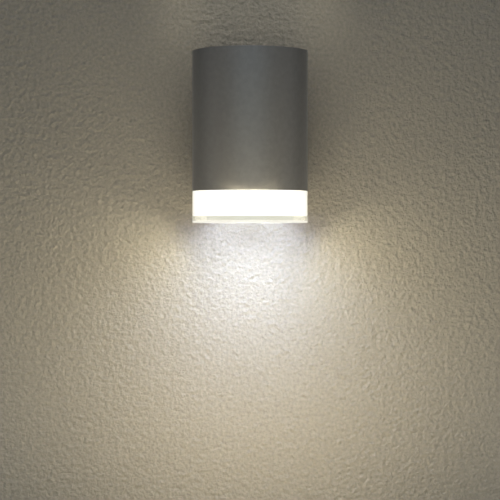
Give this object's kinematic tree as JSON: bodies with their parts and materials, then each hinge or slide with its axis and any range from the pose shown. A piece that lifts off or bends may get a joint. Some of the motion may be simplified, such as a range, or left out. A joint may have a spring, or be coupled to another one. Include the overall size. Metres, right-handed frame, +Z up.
{
  "type": "outdoor wall light",
  "caption": "Cylindrical metal wall downlight with a flush luminous cup below, held off the wall by a screwed box and bracket.",
  "frame": {"origin": "centre of the wall bracket's back face, on the wall's plane", "axes": "+Y into the wall, +Z up along the cylinder, so the light stands out towards -Y"},
  "size_m": [0.09, 0.102, 0.134],
  "materials": {
    "satin_aluminium": "satin, silver-grey, fine grain",
    "cast_aluminium": "cast, powder coated, silver-grey",
    "zinc_steel": "zinc plated, satin",
    "stainless": "stainless, satin",
    "spring_steel": "phosphated, dark",
    "white_enamel": "white, satin",
    "black_rubber": "matt",
    "grey_foam": "closed-cell foam, matt",
    "silicone": "translucent silicone, satin",
    "ceramic": "unglazed, white, matt",
    "terminal_plastic": "moulded, white",
    "brass": "turned, bright",
    "bronze": "rolled strip",
    "nickel_brass": "nickel plated",
    "lead_brown": "silicone insulation, brown",
    "lead_blue": "silicone insulation, blue",
    "lead_green_yellow": "silicone insulation, green and yellow",
    "clear_acrylic": "clear, polished",
    "opal_acrylic": "opal white, lit from within",
    "lamp_white": "moulded, white",
    "lamp_base_plastic": "moulded, white",
    "lens_clear": "frosted clear",
    "board_white": "white solder mask on aluminium"
  },
  "bodies": {
    "bracket": {"wall_bracket": "zinc_steel", "cable_grommet": "black_rubber"},
    "housing": {"wall_box": "cast_aluminium", "wall_gasket": "grey_foam", "saddle_gasket": "black_rubber", "saddle_screws": "stainless", "fixing_screws": "stainless", "clamp_nuts": "stainless", "housing_tube": "satin_aluminium", "top_cap": "cast_aluminium", "cap_seal": "black_rubber", "holder_strap": "zinc_steel", "strap_screws": "stainless", "lampholder_face": "ceramic", "lampholder": "ceramic", "holder_contacts": "bronze", "holder_screws": "stainless", "holder_nuts": "stainless", "terminal_block": "terminal_plastic", "terminal_tubes": "brass", "terminal_screws": "stainless", "terminal_fixing_screws": "stainless", "lead_live": "lead_brown", "lead_neutral": "lead_blue", "lead_earth": "lead_green_yellow", "earth_lug": "nickel_brass", "earth_screw": "stainless", "reflector_plate": "white_enamel", "retaining_ring": "spring_steel"},
    "seal": {"diffuser_seal": "silicone"},
    "diffuser": {"diffuser_outer": "clear_acrylic", "diffuser_inner": "opal_acrylic"},
    "lamp": {"lamp_shell": "lamp_white", "lamp_base": "lamp_base_plastic", "lamp_pins": "nickel_brass", "lamp_lens": "lens_clear", "led_board": "board_white"}
  },
  "joints": [
    {"name": "housing_pull", "type": "slide", "parent": "bracket", "child": "housing", "axis": [0, -1, 0], "range_m": [0, 0.025]},
    {"name": "diffuser_travel", "type": "slide", "parent": "housing", "child": "seal", "axis": [0, 0, -1], "range_m": [0, 0.0091]},
    {"name": "diffuser_twist", "type": "hinge", "parent": "seal", "child": "diffuser", "pos_m": [0, -0.057, -0.06], "axis": [0, 0, -1], "range_deg": [0, 810]},
    {"name": "lamp_turn", "type": "hinge", "parent": "housing", "child": "lamp", "pos_m": [0, -0.057, 0], "axis": [0, 0, -1], "range_deg": [0, 45]}
  ],
  "couplings": [
    {"joint": "diffuser_travel", "follows": "diffuser_twist", "m_per_rad": 0.00063662}
  ]
}
